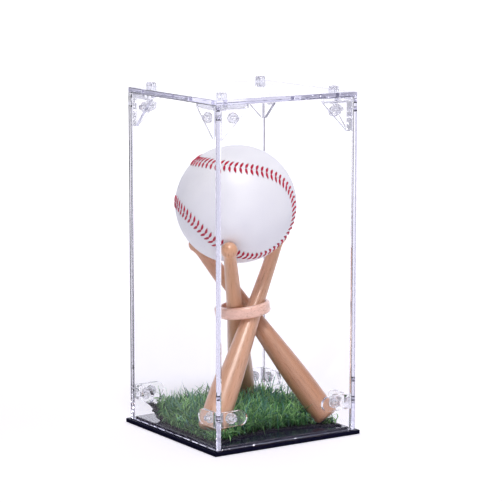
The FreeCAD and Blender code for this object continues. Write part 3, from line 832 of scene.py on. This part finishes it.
# turf
turf = {"inset": 0.4 * mm, "draws": 2, "tuft": 5.2 * mm, "gather": (0.62, 0.38),  # own place, tuft's
        "edge": 8.0 * mm, "bare": 9.0 * mm, "bareFrom": 1.2, "bareMost": 0.5, "frontBare": 3.0 * mm,
        "pressed": 8.0 * mm, "pressStart": 0.8, "pressLeast": 0.4, "rooted": 0.1 * mm,
        "barrel": 7.7 * mm, "barrelRoom": 0.35 * mm, "footRoom": 0.4 * mm, "wallRoom": 47.6 * mm,
        "bracket": (42.3 * mm, 26 * mm, 15.2 * mm),  # near a wall, near a corner, above this
        "groups": {  # seed, blades, shortest, longest, widest, lean, dark, pale
            "turf_bright": (11, 1900, 10.0, 20.0, 1.25, 1.75, (0.018, 0.125, 0.020), (0.50, 0.92, 0.36)),
            "turf_deep": (23, 2600, 8.0, 17.0, 1.25, 1.75, (0.004, 0.034, 0.012), (0.060, 0.29, 0.080)),
            "turf_blue": (37, 520, 12.0, 20.0, 1.10, 1.30, (0.016, 0.090, 0.070), (0.30, 0.62, 0.54)),
            "turf_stray": (61, 110, 19.0, 28.0, 0.85, 0.50, (0.020, 0.110, 0.060), (0.16, 0.46, 0.34)),
            "turf_thatch": (41, 2800, 4.0, 9.0, 0.90, 1.9, (0.008, 0.045, 0.010), (0.16, 0.38, 0.10)),
            "mat_fray": (53, 190, 2.0, 5.5, 0.55, 1.9, (0.006, 0.005, 0.010), (0.030, 0.027, 0.042))}}
looseThreads = {"inset": 0.2 * mm, "draws": 60, "from": 1.35, "line": 3.0 * mm, "spread": 1.0 * mm}
bladeForm = {"cuts": (0.28, 0.55, 0.8), "taper": 0.55, "rootWidth": 0.75, "ends": (0.01, 0.99), "thin": 0.45}
bladeWay = {"reach": (0.15, 1), "fan": 0.6, "hang": (0.1, 0.8), "bend": (0.45, 1.25), "bendShare": 0.62,
            "curl": (-1.1, 1.1), "droop": (0.0, 0.42), "edgeDroop": (0.1, 0.9), "narrow": (0.65, 1.0),
            "meetsWall": (45.2 * mm, 47.0 * mm),  # ranges are for random draws
            "bendPower": 1.7, "curlBack": 1.6, "checks": 6}
# rise darkens the blades towards their roots: painted shade down in the turf
bladeShade = {"rise": 0.50, "tint": 0.58, "patch": (-0.26, 0.18), "patchScale": 60, "middle": (0.55, 0.45)}


def makeBladeTemplate():
    clearSelection()
    bpy.ops.mesh.primitive_cone_add(vertices=3, radius1=0.5, radius2=0.0, depth=1.0, location=(0, 0, 0.5))
    template = settle(nameNew("blade"))
    bpy.ops.object.mode_set(mode="EDIT")
    for height in bladeForm["cuts"]:
        bpy.ops.mesh.select_all(action="SELECT")
        bpy.ops.mesh.bisect(plane_co=(0, 0, height), plane_no=(0, 0, 1))
    bpy.ops.object.mode_set(mode="OBJECT")
    rootEnd, tipStart = bladeForm["ends"]
    for point in template.data.vertices:  # keeps most of its width up to the last third
        height = point.co.z
        if height < tipStart:
            root = bladeForm["rootWidth"] if height < rootEnd else 1
            point.co.xy *= (1 - bladeForm["taper"] * height ** 3) / (1 - height) * root
    points = np.array([point.co for point in template.data.vertices])
    faces = [tuple(face.vertices) for face in template.data.polygons]
    bpy.data.objects.remove(template)
    return points, faces


def roomForBlades(path):  # True where no point of a blade's middle line is in a bat, a wall or a bracket
    free = np.ones(len(path), bool)
    for bat in bats.values():
        start, end = np.array(bat["foot"]) * mm, np.array(bat["knob"]) * mm
        axis = (end - start) / np.linalg.norm(end - start)
        offset = path - start
        along = offset @ axis
        away = np.linalg.norm(offset - along[..., None] * axis, axis=-1)
        free &= ~((away < turf["barrel"] + turf["barrelRoom"]) & (along > -turf["footRoom"])).any(axis=1)
    side = np.abs(path[..., :2])
    free &= (side.max(axis=-1) < turf["wallRoom"]).all(axis=1)
    byWall, byCorner, above = turf["bracket"]
    corner = (side.max(axis=-1) > byWall) & (side.min(axis=-1) > byCorner) & (path[..., 2] > above)
    return free & ~corner.any(axis=1)


def plantRoots(maker, count, loose):  # places on the flat mat, their tufts and the room out to its edges
    kind = looseThreads if loose else turf
    half = mat["half"] - kind["inset"]
    root = maker.uniform(-half, half, (count * kind["draws"], 2))
    tuft = np.round(root / turf["tuft"]) * turf["tuft"]  # blades grow in tufts
    root = root * turf["gather"][0] + tuft * turf["gather"][1]
    room = np.stack([half - root[:, 0], half + root[:, 0], half - root[:, 1],
                     root[:, 1] - frontEdge(root[:, 0], half)], 1)
    inside = (room > 0).all(axis=1)
    toCorner = root[:, 1] - root[:, 0]
    if loose:  # torn backing shows round the turned corner
        line = np.abs(room[:, 1] - looseThreads["line"]) < looseThreads["spread"]
        inside &= (toCorner > looseThreads["from"] * half) & line
    else:  # and is bare there
        torn = np.clip(toCorner / half - turf["bareFrom"], 0, turf["bareMost"])
        inside &= (room[:, 1] > turf["bare"] * torn) & (room[:, 3] > turf["frontBare"])
    return root[inside], tuft[inside], room[inside]


def pressDown(root, height):  # the bats press the turf down
    for bat in bats.values():
        away = np.linalg.norm(root - np.array(bat["foot"][:2]) * mm, axis=1)
        share = (away - turf["pressStart"] * turf["pressed"]) / turf["pressed"]
        height *= np.clip(share, turf["pressLeast"], 1)
    return height


def makeBlades(name, seed, count, shortest, longest, widest, lean, template, faces):
    maker = np.random.RandomState(seed)
    root, tuft, room = plantRoots(maker, count, name == "mat_fray")
    size = len(root)

    def draw(kind):
        return maker.uniform(*bladeWay[kind], size)

    edge = np.clip(1 - room.min(axis=1) / turf["edge"], 0, 1)
    out = np.array([(1, 0), (-1, 0), (0, 1), (0, -1)])[room.argmin(axis=1)]
    height = pressDown(root, maker.uniform(shortest, longest, size) * mm)
    turn = maker.uniform(0, math.tau, size)
    fan = (root - tuft) / (turf["tuft"] / 2)  # blades fan out from their tuft
    tip = np.stack([np.cos(turn), np.sin(turn)], 1) * draw("reach")[:, None] + fan * bladeWay["fan"]
    tip += out * (edge * draw("hang"))[:, None]  # the outer ones hang over the edge
    tip *= (lean * draw("bend") * height * bladeWay["bendShare"])[:, None]
    curl = np.stack([-tip[:, 1], tip[:, 0]], 1) * draw("curl")[:, None]
    droop = np.minimum(draw("droop") * lean + edge * draw("edgeDroop"), 1.0)
    spin = maker.uniform(0, math.tau, size)
    width = widest * mm * draw("narrow")
    limit = draw("meetsWall")[:, None, None]  # strands that meet a wall hang down along it

    def line(share):  # middle of the blades at these shares of their length
        flat = root[:, None, :] + tip[:, None, :] * (share ** bladeWay["bendPower"])[None, :, None]
        flat += curl[:, None, :] * (share ** 2 * (bladeWay["curlBack"] - share))[None, :, None]
        flat = np.clip(flat, -limit, limit)
        rise = height[:, None] * (share[None, :] - droop[:, None] * share[None, :] ** 3)
        return np.concatenate([flat, rise[..., None] + mat["thickness"] - turf["rooted"]], axis=2)

    path = line(np.linspace(0, 1, bladeWay["checks"]))
    free = roomForBlades(layOnMat(path).reshape(path.shape))
    chosen = np.nonzero(free)[0][:count]
    middle = line(template[:, 2])
    turned = np.stack([np.cos(spin), np.sin(spin)], 1)
    across = np.stack([-turned[:, 1], turned[:, 0]], 1)
    wide = turned[:, None, :] * template[None, :, 0, None]
    deep = across[:, None, :] * template[None, :, 1, None] * bladeForm["thin"]
    middle[..., :2] += (wide + deep) * width[:, None, None]
    number = len(template)
    allFaces = [tuple(index + blade * number for index in face)
                for blade in range(len(chosen)) for face in faces]
    piece = meshPiece(name, layOnMat(middle[chosen]).tolist(), allFaces)
    setAttribute(piece, "rise", np.tile(template[:, 2], len(chosen)))
    setAttribute(piece, "tint", np.repeat(maker.uniform(0, 1, len(chosen)), number))
    piece.data.polygons.foreach_set("use_smooth", [True] * len(piece.data.polygons))
    return piece


def bladeFinish(name, dark, pale):
    material, tree, shader = newFinish(name + "_fibre", Roughness=0.42, IOR=1.48)
    patch = grain(tree, place(tree), bladeShade["patchScale"], 2)
    # painted shade: darker towards the roots, paler towards the tips
    level = sums(tree, "ADD", sums(tree, "MULTIPLY", painted(tree, "rise"), bladeShade["rise"]),
                 sums(tree, "MULTIPLY", painted(tree, "tint"), bladeShade["tint"]))
    level = sums(tree, "ADD", level, span(tree, patch, *bladeShade["patch"], *wideNoiseBand))
    low, high = bladeShade["middle"]
    middle = tuple((a * low + b * high) for a, b in zip(dark, pale))
    wire(tree, ramp(tree, level, (0.05, dark), (0.5, middle), (0.95, pale)), shader, "Base Color")
    return material


bladePoints, bladeFaces = makeBladeTemplate()
for index, (name, (*growth, dark, pale)) in enumerate(turf["groups"].items()):
    piece = makeBlades(name, *growth, bladePoints, bladeFaces)
    replaced = ("turf_pile", "turf_blades") if index == 0 else ()
    slot = "mat_backing" if name == "mat_fray" else "turf_green"
    put(piece, "base", slot, bladeFinish(name, dark, pale), *replaced)
    print(name, len(piece.data.polygons), "faces")
print("turf grown")
